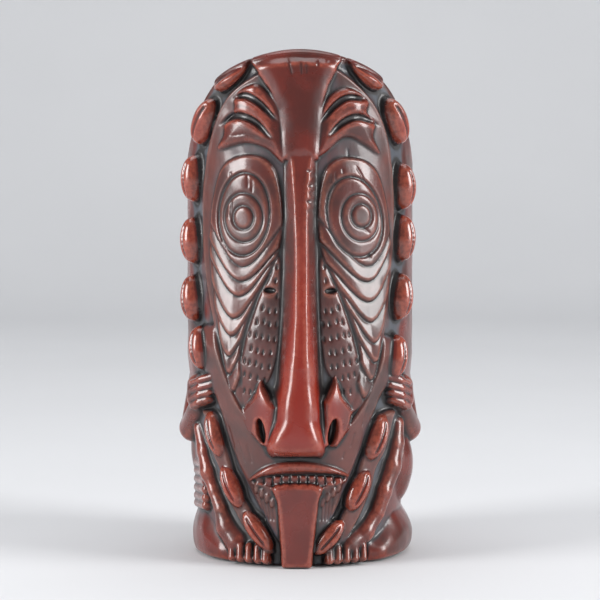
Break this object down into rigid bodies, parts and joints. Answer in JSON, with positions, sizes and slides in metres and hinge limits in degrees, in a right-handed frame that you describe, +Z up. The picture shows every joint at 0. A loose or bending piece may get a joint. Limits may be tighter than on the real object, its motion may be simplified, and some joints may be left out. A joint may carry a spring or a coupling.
{
  "type": "tiki mug",
  "caption": "Tall ceramic tiki mug carved as a long-nosed mask with ringed eyes, shell-strung edges and a hanging tongue, hugged by a crouching figure.",
  "frame": {"origin": "middle of the flat foot that the mug stands on", "axes": "+Z up along the cup's axis, -Y towards the mask's face, +X to the right hand of a viewer who faces the mask"},
  "size_m": [0.0908, 0.1011, 0.1897],
  "materials": {
    "glazed_wall": "semi-gloss oxblood brown glaze on slip-cast earthenware",
    "red_relief": "semi-gloss oxblood glaze, brighter on raised edges",
    "worn_relief": "satin brown glaze with black wash in the cuts",
    "dark_ground": "satin black wash over brown glaze in the recesses",
    "shell_glaze": "glossy oxblood glaze with a black wash at the foot",
    "figure_glaze": "semi-gloss oxblood brown glaze with black wash in the hollows"
  },
  "bodies": {
    "root": {"cup_wall": "glazed_wall", "cup_floor": "glazed_wall", "base_ring": "glazed_wall", "mask_panel": "dark_ground", "jaw_panel": "dark_ground", "forehead_crest": "red_relief", "nose": "red_relief", "upper_lip": "red_relief", "upper_teeth": "red_relief", "lower_teeth": "dark_ground", "tongue": "red_relief", "left_brows": "red_relief", "left_eye_plate": "worn_relief", "left_eye_rings": "worn_relief", "left_pupil": "worn_relief", "left_cheek_scallops": "worn_relief", "left_cheek_leaf": "worn_relief", "left_nostril_wing": "red_relief", "left_shell_strap": "dark_ground", "left_shell_1": "shell_glaze", "left_shell_2": "shell_glaze", "left_shell_3": "shell_glaze", "left_shell_4": "shell_glaze", "left_shell_5": "shell_glaze", "left_shell_6": "shell_glaze", "left_shell_7": "shell_glaze", "left_shell_8": "shell_glaze", "left_shell_9": "shell_glaze", "left_fist": "figure_glaze", "left_forearm": "figure_glaze", "left_upper_arm": "figure_glaze", "left_shin": "figure_glaze", "left_haunch": "figure_glaze", "left_foot": "figure_glaze", "right_brows": "red_relief", "right_eye_plate": "worn_relief", "right_eye_rings": "worn_relief", "right_pupil": "worn_relief", "right_cheek_scallops": "worn_relief", "right_cheek_leaf": "worn_relief", "right_nostril_wing": "red_relief", "right_shell_strap": "dark_ground", "right_shell_1": "shell_glaze", "right_shell_2": "shell_glaze", "right_shell_3": "shell_glaze", "right_shell_4": "shell_glaze", "right_shell_5": "shell_glaze", "right_shell_6": "shell_glaze", "right_shell_7": "shell_glaze", "right_shell_8": "shell_glaze", "right_shell_9": "shell_glaze", "right_fist": "figure_glaze", "right_forearm": "figure_glaze", "right_upper_arm": "figure_glaze", "right_shin": "figure_glaze", "right_haunch": "figure_glaze", "right_foot": "figure_glaze", "left_hip_beads": "figure_glaze", "figure_back": "figure_glaze", "figure_head": "figure_glaze"}
  },
  "joints": []
}
